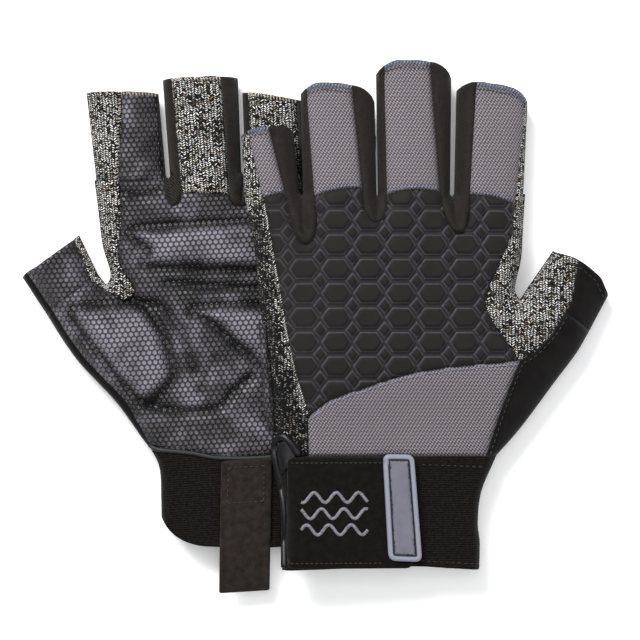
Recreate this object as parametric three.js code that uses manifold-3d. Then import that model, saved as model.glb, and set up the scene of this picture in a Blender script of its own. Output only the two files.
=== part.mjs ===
// A pair of fingerless sailing gloves, both for the left hand, lying on a flat surface. The lower
// glove lies palm up, and the upper one lies back up with its little-finger side on the lower one.
// Each glove is a hollow shell of sewn panels: plates on the palm and the back, walls between them.
//
// Glove frame, in millimetres: +X towards the thumb, +Y from the cuff to the fingertips,
// z = 0 on the palm's outer face and z = THICK on the back's outer face.

import * as THREE from 'three';
import { mergeVertices } from 'three/addons/utils/BufferGeometryUtils.js';
import Module from 'manifold-3d';

const wasm = await Module();
wasm.setup();

// Thicknesses and clearances
const THICK = 16;          // a glove over its palm and back panels
const WALL = 1.6;          // a panel of leather, knit or laminate
const GAP = 0.3;           // between neighbouring pieces
const PAD = 2.6;           // the foam under the palm leather
const STRAP = 1.8;         // the wrist strap and the pull tab
const RUBBER = 2.2;        // the moulded end of the strap
const SAME_POINT = 1e-4;   // vertices nearer than this are one
const ARC_STEPS = 6;       // the straight pieces in a curved stretch of an outline

// Heights along the hand
const CUFF_TOP = 46;       // where the cuff is sewn to the hand
const CUFF_SINK = STRAP + RUBBER + 2 * GAP; // the closed strap lies flush with the back
const HAND_FULL = 86;      // from here up the back is at its full height
const ROOT = 152;          // the seam across the finger roots

// How the two gloves lie
const LOWER_TURN = 3.46;   // degrees, the lower glove's lean towards its thumb side
const LOWER_SQUASH = 7.4;  // how much flatter its little-finger side is, under the upper glove
const SQUASH_FROM = 60;    // the x where the squashing starts
const SQUASH_OVER = 120;   // the distance over which it grows
const UPPER_TILT = 5.6;    // degrees, the upper glove's slope down to its thumb
const UPPER_OFFSET = new THREE.Vector2(53.6, -9.3); // from the lower glove's origin to the upper one's

// Finger stalls from little to index: the edges at the root and at the tip
const STALLS = [
  { name: 'little', root: [-58.5, -36.2], tip: [-59.6, -38.4] },
  { name: 'ring', root: [-34.6, -5.4], tip: [-35.6, -6.2] },
  { name: 'middle', root: [-3.8, 25.2], tip: [-4.8, 25.8] },
  { name: 'index', root: [26.8, 55.2], tip: [27.8, 57.0] },
];
// Their tips: how far up the corners are, and how far above them the arc's control point is
const UPPER_TIPS = [[176, 6], [189, 16], [198, 16], [190, 15]];
const LOWER_TIPS = [[166, 4], [179, 4], [188, 4], [185, 2]];

// Plan of the hand. Outlines run anticlockwise, seen with +Z up.
const ULNAR_SIDE = [
  [-46.5, 46], [-46.9, 69], [-48.8, 86], [-51.6, 103], [-52.9, 116], [-54.6, 132.5], [-58.5, 152],
];
const RADIAL_SIDE = [[55.2, 152], [54.4, 140], [53.5, 125.7], [51, 113.9], [53.7, 108.8]];
const THUMB_INNER = [57.4, 113.4];  // the inner end of the thumb's flex line
const THUMB_OUTER = [82.2, 96.3];   // its outer end
const STALL_SEAM_AT = 0.56;         // how far along it the seam between the stall's knit and suede is
const THUMB_TIP = [[90.1, 110.8], [85.5, 118.5], [77, 125.2], [68, 128.6]];
const THUMB_SIDE = [[82.2, 96.3], [77, 87.5], [67.7, 75.1], [54.5, 57.3], [44.5, 46]];
const CUFF_ULNAR = [[-43, 0], [-42, 12], [-42.4, 28], [-46.5, 46]];
const CUFF_RADIAL = [[37.3, 0], [36.8, 18], [38.4, 34], [44.5, 46]];

// Seams on the back of the hand
const WRIST_SEAM = [[-33, 62], [-23.6, 68.8], [-13.9, 72.4], [-1, 76.6], [19.6, 81.3], [52.6, 84.4]];
const GUSSET_SEAM = [[-32.5, 46], [-33, 62], [-40.1, 86], [-46.2, 119.7], [-51.5, 152]];
const SADDLE_SEAM = [
  [50.6, 152], [49.8, 136.4], [39.7, 113.1], [38.5, 108.5], [41.3, 100.7], [52.6, 86.5], [58.3, 87.6],
];
const SADDLE_OUTER = [[58.3, 87.6], [71.2, 103.9]]; // the saddle's edge up to the flex line
const SUEDE_SEAM = [[52.6, 84.4], [46.5, 68], [39.5, 46]];

// Foam pads in the palm
const THUMB_PAD = { centre: [54, 80], radii: [20, 12], turn: 54 };
const ROOT_PAD = [[-46, 112], [34, 112], [34, 124], [28, 136], [-46, 136]];
const HEEL_PAD = [[-41, 54], [-12, 54], [-14, 62], [6, 84], [20, 98], [-45, 98]];

// The strap, its moulded end and the pull tab
const STRAP_AREA = { from: [-41.5, 0.8], to: [9, 45.6] };
const RUBBER_AREA = { from: [-2.8, 3.6], to: [12, 45.6], corner: 4 };
// The tab is sewn on from its hinge line up, and free below it. lean is its slope in plan.
const TAB = { centre: 2.4, width: 20.6, hinge: 16, sewn: 19.2, free: 34.6, lean: 0.08 };

const MATERIALS = {
  grip_leather: [0x34343a, 0.45],
  cut_knit: [0x77726a, 0.95],
  back_laminate: [0x2b292a, 0.8],
  grey_weave: [0x77747c, 0.85],
  spandex: [0x262320, 0.85],
  suede: [0x161413, 0.95],
  foam: [0x3a3a3c, 0.9],
  elastic: [0x1b1815, 0.9],
  neoprene: [0x2b2723, 0.9],
  rubber: [0x7f8089, 0.5],
};

const material = (slot) => {
  const [color, roughness] = MATERIALS[slot];
  return new THREE.MeshStandardMaterial({ name: slot, color, roughness, metalness: 0 });
};

const shapeOf = (points) => new THREE.Shape(points.map(([x, y]) => new THREE.Vector2(x, y)));

// A flat piece of a given outline, from z = low to z = high.
function plate(shape, low, high) {
  const outline = Array.isArray(shape) ? shapeOf(shape) : shape;
  return new THREE.ExtrudeGeometry(outline, { depth: high - low, bevelEnabled: false, curveSegments: ARC_STEPS })
    .translate(0, 0, low);
}

const palmPlate = (shape) => plate(shape, 0, WALL);
const backPlate = (shape) => plate(shape, THICK - WALL, THICK);

// The points of a line moved sideways, to its left as it runs.
function shifted(line, by) {
  const points = line.map(([x, y]) => new THREE.Vector2(x, y));
  return points.map((p, i) => {
    const before = p.clone().sub(points[Math.max(i - 1, 0)]).normalize();
    const after = points[Math.min(i + 1, points.length - 1)].clone().sub(p).normalize();
    const way = before.add(after).normalize();
    return [p.x - way.y * by, p.y + way.x * by];
  });
}

// An upright wall on the left of a line, no longer than the line itself. Unless told otherwise,
// it stops short of the palm and back plates.
function wall(line, low = WALL + GAP, high = THICK - WALL - GAP) {
  const inner = shifted(line, WALL);
  const heights = line.map(([, y]) => y);
  [inner[0], inner.at(-1)].forEach((end) => {
    end[1] = THREE.MathUtils.clamp(end[1], Math.min(...heights), Math.max(...heights));
  });
  return plate([...line, ...inner.reverse()], low, high);
}

// Joins overlapping bodies of one sewn piece.
function joined(...geometries) {
  const solids = geometries.map((geometry) => {
    const bare = geometry.clone();
    bare.deleteAttribute('normal');
    bare.deleteAttribute('uv');
    const merged = mergeVertices(bare, SAME_POINT);
    return new wasm.Manifold(new wasm.Mesh({
      numProp: 3,
      vertProperties: merged.attributes.position.array,
      triVerts: new Uint32Array(merged.index.array),
    }));
  });
  const mesh = solids.reduce((sum, solid) => sum.add(solid)).getMesh();
  const geometry = new THREE.BufferGeometry();
  geometry.setAttribute('position', new THREE.BufferAttribute(mesh.vertProperties, 3));
  geometry.setIndex(new THREE.BufferAttribute(mesh.triVerts, 1));
  return geometry;
}

const between = ([ax, ay], [bx, by], t) => [ax + (bx - ax) * t, ay + (by - ay) * t];

// A finger stall's outline in plan, from the root seam to its arched tip.
function stallShape({ root, tip }, [tipHeight, crown]) {
  const low = ROOT + GAP;
  const shape = new THREE.Shape();
  shape.moveTo(root[0], low);
  shape.lineTo(root[1], low);
  shape.lineTo(tip[1], tipHeight);
  shape.quadraticCurveTo((tip[0] + tip[1]) / 2, tipHeight + crown, tip[0], tipHeight);
  return shape;
}

// The strip that makes the facing sides of two neighbouring stalls.
function fourchette(left, right, [leftTip], [rightTip]) {
  const low = ROOT + GAP;
  return plate([
    [left.root[1] - WALL, low],
    [right.root[0] + WALL, low],
    [right.tip[0] + WALL, rightTip],
    [right.tip[0], rightTip],
    [right.root[0], low + WALL],
    [left.root[1], low + WALL],
    [left.tip[1], leftTip],
    [left.tip[1] - WALL, leftTip],
  ], WALL + GAP, THICK - WALL - GAP);
}

// One side wall of one stall: side 0 is towards the little finger, 1 towards the thumb.
function stallSide({ root, tip }, [tipHeight], side) {
  const foot = [root[side], ROOT + GAP];
  const head = [tip[side], tipHeight];
  return wall(side ? [foot, head] : [head, foot]);
}

// A gap across the thumb's flex line, towards the tip.
const flexWay = new THREE.Vector2(THUMB_INNER[0] - THUMB_OUTER[0], THUMB_INNER[1] - THUMB_OUTER[1]).normalize();
const pastFlex = ([x, y], by = GAP) => [x + flexWay.y * by, y - flexWay.x * by];

function palmPanel() {
  return palmPlate([
    ...THUMB_SIDE.toReversed().map(([x, y], i) => [x, i ? y : y + GAP]),
    THUMB_INNER,
    ...RADIAL_SIDE.toReversed(),
    ...ULNAR_SIDE.toReversed().map(([x, y], i) => [x, i === ULNAR_SIDE.length - 1 ? y + GAP : y]),
  ]);
}

function backPanel() {
  const left = shifted(GUSSET_SEAM.slice(1), -GAP).toReversed();
  const below = shifted(WRIST_SEAM, GAP).slice(1);
  const right = shifted(SADDLE_SEAM.slice(0, -1), -GAP).toReversed();
  return backPlate([...left, ...below, ...right]);
}

function wristPanel() {
  return backPlate([
    ...shifted(GUSSET_SEAM.slice(0, 2), -GAP).toReversed(),
    [GUSSET_SEAM[0][0] + GAP, CUFF_TOP + GAP],
    [SUEDE_SEAM[2][0] - GAP, CUFF_TOP + GAP],
    ...shifted(SUEDE_SEAM, -GAP).slice(0, 2).toReversed(),
    ...WRIST_SEAM.slice(1, -1).toReversed(),
  ].filter(([, y]) => y > CUFF_TOP + GAP / 2));
}

// The knit along the little-finger side: a strip of the back and the side wall. On a glove whose
// little finger lies still, it goes on as that finger's own side.
function ulnarGusset(onwards) {
  const foot = [ULNAR_SIDE[0][0], CUFF_TOP + GAP];
  const side = [foot, ...ULNAR_SIDE.slice(1)];
  const strip = backPlate([...side.toReversed(), [GUSSET_SEAM[0][0], CUFF_TOP + GAP], ...GUSSET_SEAM.slice(1)]);
  const upright = wall(side.toReversed(), WALL + GAP, THICK - WALL / 2);
  if (!onwards) return joined(strip, upright);
  const [x, y] = ULNAR_SIDE.at(-1);
  return joined(strip, upright, wall([onwards, [x, y - GAP]]));
}

// The knit between index finger and thumb: its patch on the back and the wall round the crotch.
function saddle() {
  const edge = [...RADIAL_SIDE, THUMB_INNER];
  const patch = backPlate([
    ...SADDLE_SEAM,
    SADDLE_OUTER[1],
    THUMB_INNER,
    ...RADIAL_SIDE.toReversed(),
  ]);
  const upright = wall(edge.toReversed(), WALL + GAP, THICK - WALL / 2);
  return joined(patch, upright);
}

// The suede on the thumb's base, which turns over the hand's edge.
function thumbBase() {
  const side = [...THUMB_SIDE.slice(0, -1), [THUMB_SIDE.at(-1)[0], CUFF_TOP + GAP]];
  const seam = shifted(SADDLE_OUTER, -GAP);
  const cover = backPlate([
    [SUEDE_SEAM[2][0], CUFF_TOP + GAP],
    ...side.toReversed(),
    seam[1],
    seam[0],
    [SADDLE_SEAM.at(-2)[0] + GAP, SADDLE_SEAM.at(-2)[1] - 2 * GAP],
    ...SUEDE_SEAM.slice(0, 2),
  ]);
  return joined(cover, wall(side.toReversed(), WALL + GAP, THICK - WALL / 2));
}

// The seam between knit and suede on the back of the thumb stall: its ends on the flex line and the tip
const stallSeam = between(THUMB_INNER, THUMB_OUTER, STALL_SEAM_AT);
const tipSeam = THUMB_TIP[2];

function thumbGusset() {
  const edge = [pastFlex(THUMB_INNER), THUMB_TIP.at(-1)];
  const patch = backPlate([pastFlex(THUMB_INNER), pastFlex(stallSeam), tipSeam, THUMB_TIP.at(-1)]);
  return joined(patch, wall(edge.toReversed(), WALL + GAP, THICK - WALL / 2));
}

function thumbBack() {
  const edge = [pastFlex(THUMB_OUTER), THUMB_TIP[0]];
  const seam = shifted([stallSeam, tipSeam], -GAP);
  const cover = backPlate([pastFlex(seam[0]), ...edge, THUMB_TIP[1], seam[1]]);
  return joined(cover, wall(edge, WALL + GAP, THICK - WALL / 2));
}

const thumbPalm = () => palmPlate([pastFlex(THUMB_INNER), pastFlex(THUMB_OUTER), ...THUMB_TIP]);

// The elastic cuff: palm side, back side and the edge below the thumb. The other edge is the slit.
function cuffBand() {
  const outline = [...CUFF_ULNAR.toReversed(), ...CUFF_RADIAL];
  return joined(
    palmPlate(outline),
    backPlate(outline),
    wall(CUFF_RADIAL, WALL / 2, THICK - WALL / 2),
  );
}

function foamOutline({ centre, radii, turn }) {
  const shape = new THREE.Shape();
  shape.absellipse(...centre, ...radii, 0, 2 * Math.PI, false, THREE.MathUtils.degToRad(turn));
  return shape;
}

const foamPad = (shape) => plate(shape, WALL + GAP, WALL + GAP + PAD);

function strap() {
  const { from: [x0, y0], to: [x1, y1] } = STRAP_AREA;
  return plate([[x0, y0], [x1, y0], [x1, y1], [x0, y1]], THICK + GAP, THICK + GAP + STRAP);
}

function strapEnd() {
  const { from: [x0, y0], to: [x1, y1], corner } = RUBBER_AREA;
  const shape = new THREE.Shape();
  shape.moveTo(x0, y0);
  shape.lineTo(x1 - corner, y0);
  shape.quadraticCurveTo(x1, y0, x1, y0 + corner);
  shape.lineTo(x1, y1 - corner);
  shape.quadraticCurveTo(x1, y1, x1 - corner, y1);
  shape.lineTo(x0, y1);
  const low = THICK + 2 * GAP + STRAP;
  return plate(shape, low, low + RUBBER);
}

// A length of the pull tab on one side of its hinge line, in a given layer under the palm side.
function tabLength(length, up, layer) {
  const side = up ? 1 : -1;
  const [y0, y1] = [TAB.hinge + side * GAP / 2, TAB.hinge + side * length];
  const [x0, x1] = [TAB.centre - TAB.width / 2, TAB.centre + TAB.width / 2];
  const slip = TAB.lean * length * (up && layer === 0 ? -1 : 1);
  const corners = [[x0, y0], [x1, y0], [x1 + slip, y1], [x0 + slip, y1]];
  const top = -GAP - layer * (GAP + STRAP);
  return plate(up ? corners : corners.toReversed(), top - STRAP, top);
}

const tabBase = () => tabLength(TAB.sewn, true, 0);

// The free part points past the hem, or is folded back over the sewn part.
const pullTab = (folded) => tabLength(TAB.free, folded, folded ? 1 : 0);

// Draws the back down to the thin cuff, and raises the palm where the glove is squashed.
function settle(geometry, squash) {
  const position = geometry.getAttribute('position');
  for (let i = 0; i < position.count; i++) {
    const [x, y, z] = [position.getX(i), position.getY(i), position.getZ(i)];
    const sink = CUFF_SINK * THREE.MathUtils.clamp((HAND_FULL - y) / (HAND_FULL - CUFF_TOP), 0, 1);
    const rise = squash * (SQUASH_FROM - x) / SQUASH_OVER;
    position.setZ(i, z > THICK / 2 ? z - sink : z + rise);
  }
  return geometry;
}

// One glove. If it is pinned, another glove holds its ring and little fingers down, so the strip
// between ring and middle finger is in two.
function glove(prefix, { tips, squash, pinned, tabFolded }) {
  const group = new THREE.Group();
  const add = (name, slot, geometry) => {
    const mesh = new THREE.Mesh(settle(geometry, squash), material(slot));
    mesh.name = `${prefix}_${name}`;
    group.add(mesh);
  };
  const [little, ring, middle, index] = STALLS;

  add('palm_panel', 'grip_leather', palmPanel());
  add('thumb_pad', 'foam', foamPad(foamOutline(THUMB_PAD)));
  add('finger_root_pad', 'foam', foamPad(ROOT_PAD));
  add('heel_pad', 'foam', foamPad(HEEL_PAD));
  add('back_panel', 'back_laminate', backPanel());
  add('wrist_panel', 'grey_weave', wristPanel());
  add('ulnar_gusset', 'cut_knit', ulnarGusset(pinned && [little.tip[0], tips[0][0]]));
  add('saddle', 'cut_knit', saddle());
  add('thumb_base', 'suede', thumbBase());
  add('cuff_band', 'elastic', cuffBand());

  STALLS.forEach((stall, i) => {
    add(`${stall.name}_back`, 'grey_weave', backPlate(stallShape(stall, tips[i])));
    const slot = stall === index ? 'grip_leather' : 'cut_knit';
    add(`${stall.name}_palm`, slot, palmPlate(stallShape(stall, tips[i])));
  });
  add('index_side', 'cut_knit', stallSide(index, tips[3], 1));
  if (!pinned) add('little_side', 'cut_knit', stallSide(little, tips[0], 0));
  add('little_ring_fourchette', 'spandex', fourchette(little, ring, tips[0], tips[1]));
  if (pinned) {
    add('ring_fourchette', 'spandex', stallSide(ring, tips[1], 1));
    add('middle_fourchette', 'spandex', stallSide(middle, tips[2], 0));
  } else {
    add('ring_middle_fourchette', 'spandex', fourchette(ring, middle, tips[1], tips[2]));
  }
  add('middle_index_fourchette', 'spandex', fourchette(middle, index, tips[2], tips[3]));

  add('thumb_back', 'suede', thumbBack());
  add('thumb_palm', 'grip_leather', thumbPalm());
  add('thumb_gusset', 'cut_knit', thumbGusset());

  add('strap', 'neoprene', strap());
  add('strap_end', 'rubber', strapEnd());
  add('tab_base', 'neoprene', tabBase());
  add('pull_tab', 'neoprene', pullTab(tabFolded));
  return group;
}

const lower = glove('lower', { tips: LOWER_TIPS, squash: LOWER_SQUASH, pinned: true, tabFolded: false });
lower.rotation.set(0, Math.PI, THREE.MathUtils.degToRad(LOWER_TURN), 'ZYX');
lower.position.z = THICK;

const upper = glove('upper', { tips: UPPER_TIPS, squash: 0, pinned: false, tabFolded: true });
upper.rotation.y = THREE.MathUtils.degToRad(UPPER_TILT);
upper.position.set(UPPER_OFFSET.x, UPPER_OFFSET.y, THUMB_TIP[0][0] * Math.sin(upper.rotation.y));

// The origin is under the middle of the pair, on the surface that it lies on.
const pair = new THREE.Group();
pair.add(lower, upper);
const box = new THREE.Box3().setFromObject(pair, true);
pair.position.set(-(box.min.x + box.max.x) / 2, -(box.min.y + box.max.y) / 2, -box.min.z);

export default pair;
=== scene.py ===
# The looks of a pair of sailing gloves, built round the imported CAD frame. The sewn panels are cut
# in plan, in each glove's own frame (millimetres, +X to the thumb, +Y to the fingertips, z = 0 on
# the palm and z = THICK on the back), lifted on to the glove's rounded surface, and given thickness.
import math

import bmesh
import bpy
import numpy as np
from mathutils import Matrix, Vector, noise
from mathutils.geometry import delaunay_2d_cdt


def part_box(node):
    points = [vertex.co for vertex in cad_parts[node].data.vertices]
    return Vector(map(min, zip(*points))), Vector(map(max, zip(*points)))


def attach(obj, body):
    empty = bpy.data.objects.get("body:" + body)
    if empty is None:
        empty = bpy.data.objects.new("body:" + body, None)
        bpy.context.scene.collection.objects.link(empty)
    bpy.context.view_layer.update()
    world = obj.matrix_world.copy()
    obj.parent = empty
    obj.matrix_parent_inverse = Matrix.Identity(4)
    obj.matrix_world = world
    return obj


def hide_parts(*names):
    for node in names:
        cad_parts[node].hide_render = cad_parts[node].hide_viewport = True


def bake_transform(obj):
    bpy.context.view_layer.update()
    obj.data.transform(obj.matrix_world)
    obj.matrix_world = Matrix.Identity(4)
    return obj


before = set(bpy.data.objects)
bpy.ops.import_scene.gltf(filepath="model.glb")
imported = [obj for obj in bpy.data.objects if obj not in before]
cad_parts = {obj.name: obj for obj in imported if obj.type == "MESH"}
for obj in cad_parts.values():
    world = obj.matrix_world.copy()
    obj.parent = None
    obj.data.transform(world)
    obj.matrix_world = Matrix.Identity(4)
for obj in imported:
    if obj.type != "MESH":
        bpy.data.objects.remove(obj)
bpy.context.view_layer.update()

# ------------------------------------------------------------------ driving sizes, millimetres
THICK = 16.0         # a glove over its palm and back
CLOTH = 1.1          # a panel's thickness
CUFF_SINK = 4.6      # how much lower the back is at the cuff
CUFF_TOP, HAND_FULL, ROOT = 46.0, 86.0, 152.0
STEP = 1.7           # the spacing of a panel's points
FLEX_FROM, FLEX_TO = 153.0, 167.0   # the stretch over which the fingers bend
FLEX_FOOT, FLEX_WAY = (82.2, 96.3), (0.568, 0.823)   # the thumb's bending line, and the way up the thumb
BACK, PALM = "back", "palm"

# Finger stalls: the edges at root and tip, and the seams on back and palm, left then right
FINGERS = {
    "little": {"root": (-58.5, -36.2), "tip": (-59.6, -38.4),
               BACK: ((-51.5, -57.4), (-42.7, -49.3)), PALM: ((-54.5, -55.5), (-41, -43))},
    "ring": {"root": (-34.6, -5.4), "tip": (-35.6, -6.2),
             BACK: ((-30.6, -33.5), (-11.5, -15.5)), PALM: ((-28, -28), (-8.5, -8.5))},
    "middle": {"root": (-3.8, 25.2), "tip": (-4.8, 25.8),
               BACK: ((-1.1, -2), (20.1, 16.3)), PALM: ((1.4, 2.1), (20.5, 22.1))},
    "index": {"root": (26.8, 55.2), "tip": (27.8, 57.0),
              BACK: ((32.4, 35.4), (51, 55.7)), PALM: ((27.6, 28.6), (46, 42.1))},
}
NAMES = list(FINGERS)
CLOSED_UP = {  # on the upper glove the ring and middle fingers lie close together
    **FINGERS,
    "ring": {**FINGERS["ring"], "root": (-34.6, -4.8), "tip": (-35.6, -5.5)},
    "middle": {**FINGERS["middle"], "root": (-4.2, 25.2), "tip": (-5.0, 25.8)},
}
ROOT_SEAMS = {  # the lower edge of each finger's own panel, from left to right
    BACK: {"little": [(-51.5, 150), (-42.7, 152.4)], "ring": [(-30.6, 151), (-21.7, 153.2), (-11.5, 154.4)],
           "middle": [(-1.1, 151.6), (9.5, 153.6), (20.1, 152.8)],
           "index": [(32.4, 151.8), (42.2, 150.4), (51, 148)]},
    PALM: {"little": [(-54.5, 143), (-41, 143)], "ring": [(-28, 143), (-8.5, 143.5)],
           "middle": [(1.4, 143.2), (20.5, 144.6)], "index": [(27.6, 151), (46, 151)]},
}
TONGUES = {  # where each strip between two fingers ends, from its left finger's seam to its right one's
    BACK: [[(-42.7, 152.4), (-40.4, 140.5), (-38.2, 134), (-34.6, 131), (-31, 133.4), (-29.8, 140),
            (-30.6, 151)],
           [(-11.5, 154.4), (-10.9, 146.5), (-9, 141.6), (-5.8, 140), (-2.9, 141.8), (-1.3, 146.5),
            (-1.1, 151.6)],
           [(20.1, 152.8), (22.3, 142.5), (24.6, 137.6), (27.6, 135.7), (30.5, 137.6), (32, 143),
            (32.4, 151.8)]],
    PALM: [[(-41, 143), (-40, 139.5), (-38, 136.9), (-35.2, 136), (-31.5, 137), (-29, 139.6), (-28, 143)],
           [(-8.5, 143.5), (-7.6, 140.4), (-5.8, 138.3), (-3.2, 137.7), (-0.8, 138.4), (0.8, 140.4),
            (1.4, 143.2)],
           [(20.5, 144.6), (21.2, 142), (22.8, 139.9), (24.9, 139.4), (26.6, 141), (27.4, 144.8),
            (27.6, 151)]],
}
# The arch of each finger's mouth: its heights at the left and right edge, and its rise between them
UPPER_TIPS = {"little": (175, 176.5, 2.8), "ring": (192, 189, 5.5), "middle": (200, 198.5, 6.2),
              "index": (193.5, 189, 5)}
LOWER_TIPS = {"little": (163, 166, 3), "ring": (177, 184, 1), "middle": (190, 191, 0.8),
              "index": (185.5, 187.5, 0.6)}

# Plan of the hand
ULNAR_SIDE = [(-46.5, 46), (-46.9, 69), (-48.8, 86), (-51.6, 103), (-52.9, 116), (-54.6, 132.5), (-56.9, 143)]
ULNAR_ROOT = [(-56.9, 143), (-58.5, 152)]
RADIAL_SIDE = [(55.2, 152), (54.4, 140), (53.5, 125.7), (51, 113.9), (53.7, 108.8), (57.4, 113.4)]
THUMB_INNER = (57.4, 113.4)
CUFF_ULNAR = [(-46.5, 46), (-42.4, 28), (-42, 12), (-43, 0)]
CUFF_CORNERS = [(37.3, 0), (44.5, 46)]   # the cuff band's other corners in the frame
HEAD = [(23.5, 39.2), (11.1, 36.4), (-9.5, 35.6), (-30, 38), (-44, 44), (-46.5, 46)]   # the cuff's palm seam
UPPER_PLAN = {
    "foot": [(-43, 0), (-10, 1), (10, 1.5), (21, 0.9), (37.4, -0.2)],
    "radial": [(37.4, -0.2), (37.6, 11), (36.8, 19), (38.3, 31.5), (44.5, 46)],
    "head": [(44.5, 46), (41.5, 44.2), (37, 41.7), *HEAD],
    "thumb_side": [(82.2, 96.3), (77, 87.5), (67.7, 75.1), (54.5, 57.3), (44.5, 46)],
    "suede_turn": [(79.7, 98), (74.4, 89.1), (65.3, 76.9), (52, 59), (41.5, 44.2)],
    "thumb_tip": [(90.1, 110.8), (87.8, 114.65), (85.5, 118.5), (77, 125.2), (69.6, 128), (68, 128.6)],
    "thumb_knit": [(59.4, 112), (65, 119.6), (69.6, 128)],
    "thumb_seam": [(71.2, 103.9), (74.3, 110), (77, 125.2)],
}
LOWER_PLAN = {
    "foot": [(-43, 0), (-7, -1), (14.2, 0.5), (23.5, 1.9), (30.2, 5.1), (34.3, 9.2), (36.9, 14)],
    "radial": [(36.9, 14), (36.6, 21.3), (36.4, 33), (38.7, 40), (42.6, 46)],
    "head": [(42.6, 46), (40, 43.6), (36.6, 41.4), *HEAD],
    "thumb_side": [(78.5, 98.9), (72.6, 88), (66.4, 78.3), (58.9, 69.3), (51.6, 60.3), (42.6, 46)],
    "suede_turn": [(76, 100.6), (70, 89.6), (63.9, 80.2), (56.5, 71.2), (49.3, 62.3), (40, 43.6)],
    "thumb_tip": [(87.4, 114.4), (85.3, 116.2), (81.1, 118.3), (74.4, 122.6), (65.4, 128.4), (64, 129.8)],
    "thumb_knit": [(59.4, 112), (62, 119), (65.4, 128.4)],
    "thumb_seam": [(71.2, 103.9), (73, 110), (74.4, 122.6)],
}
WRIST_SEAM = [(-33, 62), (-23.6, 68.8), (-13.9, 72.4), (-1, 76.6), (19.6, 81.3), (52.6, 84.4)]
GUSSET_FOOT = [(-32.5, 46), (-33, 62)]
GUSSET_SEAM = [(-33, 62), (-40.1, 86), (-46.2, 119.7), (-51.5, 150)]
SADDLE_SEAM = [(51, 148), (49.8, 136.4), (43.5, 122), (38.7, 109.5), (41.3, 100.7), (48, 91), (52.6, 84.4)]
SADDLE_OUTER = [(52.6, 84.4), (58.3, 87.6), (65.5, 95), (71.2, 103.9)]
SUEDE_SEAM = [(52.6, 84.4), (46.5, 68), (39.5, 46)]
PALM_KNIT = [(46, 151), (46, 132.8), (48.3, 120), (45.1, 112), (42.2, 106.3), (45.8, 102.8), (52, 106),
             (59.4, 112.0)]
KNIT_TURN = [(-44, 44), (-44.2, 69), (-46, 86), (-48.8, 103), (-50.2, 116), (-51.8, 132.5), (-54.5, 143)]

# The back's raised six-sided cells: their pitch, one cell's centre, its half height and half width
HEX_PITCH, HEX_CENTRE, HEX_HALF, HEX_REACH = (13.0, 9.8), (4.0, 92.0), 3.75, 5.75
HEX_SLOPE, HEX_SLANT = 0.675, 1.206   # the lean of its slanting sides, and what turns it into a distance
DIAMOND, DIAMOND_SLANT = (2.5, 3.0), 1.9   # the same for the small diamonds between: half size and distance

# Foam pads and folds of the palm
PADS = {
    "thumb_pad": [(67.2, 101), (67.7, 95.5), (60.3, 84.8), (50.9, 71.1), (42.9, 61.5), (36.7, 61.1),
                  (28.7, 69.8), (28.4, 76.1), (31.6, 88.8), (36.2, 97.6), (44, 102)],
    "finger_root_pad": [(-50, 130), (37, 132), (36, 122), (31.2, 114.6), (-50, 111)],
    "heel_pad": [(-46, 95.5), (17.4, 98), (11, 90), (-6.6, 72.8), (-14, 62), (-16, 54), (-44, 54)],
}
FOLDS = [
    ([(44, 103), (31, 98), (24, 88), (20, 72)], 0.9),
    ([(-3.6, 69), (3.9, 63.6), (11.6, 56.6), (29, 56.7), (39, 59.5)], 1.3),
    ([(11.2, 77), (17.7, 63.7)], 0.8),
    ([(28.8, 108.5), (14.3, 106.5), (-7.9, 104)], 1.2),
    ([(30, 146), (38, 144), (46, 147)], 0.9),
]

# Strap, its moulded end and the pull tab
STRAP = {"from": (-41.5, 0.8), "to": (9, 45.6), "thick": 1.5, "end_thick": 1.7}
TAB = {"centre": 2.4, "width": 20.6, "hinge": 16, "sewn": 19.2, "free": 34.6, "lean": 0.08, "thick": 1.8}
SKIN_GAP = 0.3       # between the cuff and the pull tab, and between the tab's layers
ABOVE_FLOOR = 0.0002   # metres, where cloth that presses on the floor lies flat
LEAST_CUT = 0.01       # metres, the narrowest strip that a panel is cut from
REST = 0.7           # how far the lower glove's back stays from the floor, as its stitches stand proud

# The cuff's slit: its bound edge and the lining behind it; and the palm leather's edge on the back
SLIT_BINDING = [(-42.2, 1.2), (-42, 11.8), (-42.1, 20), (-42.6, 28), (-43.5, 34.1), (-45.3, 42.2),
                (-46.2, 47.4),
                (-45.8, 51.9), (-43.4, 54), (-40.5, 52), (-38.2, 48.8), (-36.8, 46.4)]
SLIT_LINING = [(-43.4, 38), (-45, 44), (-45.4, 49), (-43.6, 52.6), (-40.6, 50.6), (-37.6, 46.2),
               (-39.6, 42.6),
               (-42.2, 40.4), (-43.4, 38)]
PALM_EDGE = [(-47.4, 57), (-49.3, 68), (-50.4, 80), (-50.9, 92), (-51.4, 99)]


# ------------------------------------------------------------------ curves and plan meshes
def lengths(line):
    """How far along a line of points each of them is."""
    return np.concatenate([[0], np.cumsum(np.linalg.norm(np.diff(line, axis=0), axis=1))])


def resampled(line, step):
    """Points evenly spaced along a line of points."""
    run = lengths(line)
    places = np.linspace(0, run[-1], max(2, round(run[-1] / step) + 1))
    return np.stack([np.interp(places, run, line[:, k]) for k in range(line.shape[1])], axis=1)


def spline(points, step=STEP, part=None):
    """Points about step apart on a smooth curve through the given ones, or through a part of them."""
    p = np.array(points, float)
    ends = np.vstack([2 * p[0] - p[1], p, 2 * p[-1] - p[-2]])
    first, last = part or (0, len(p) - 1)
    fine = np.linspace(0, 1, 13)[:, None]
    curve = []
    for i in range(first, last):
        a, b, c, d = ends[i:i + 4]
        bend = 2 * a - 5 * b + 4 * c - d, -a + 3 * b - 3 * c + d
        line = 0.5 * (2 * b + (c - a) * fine + bend[0] * fine**2 + bend[1] * fine**3)
        curve.append(resampled(line, step))
    return np.vstack([*(c[:-1] for c in curve), curve[-1][-1:]])


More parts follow.
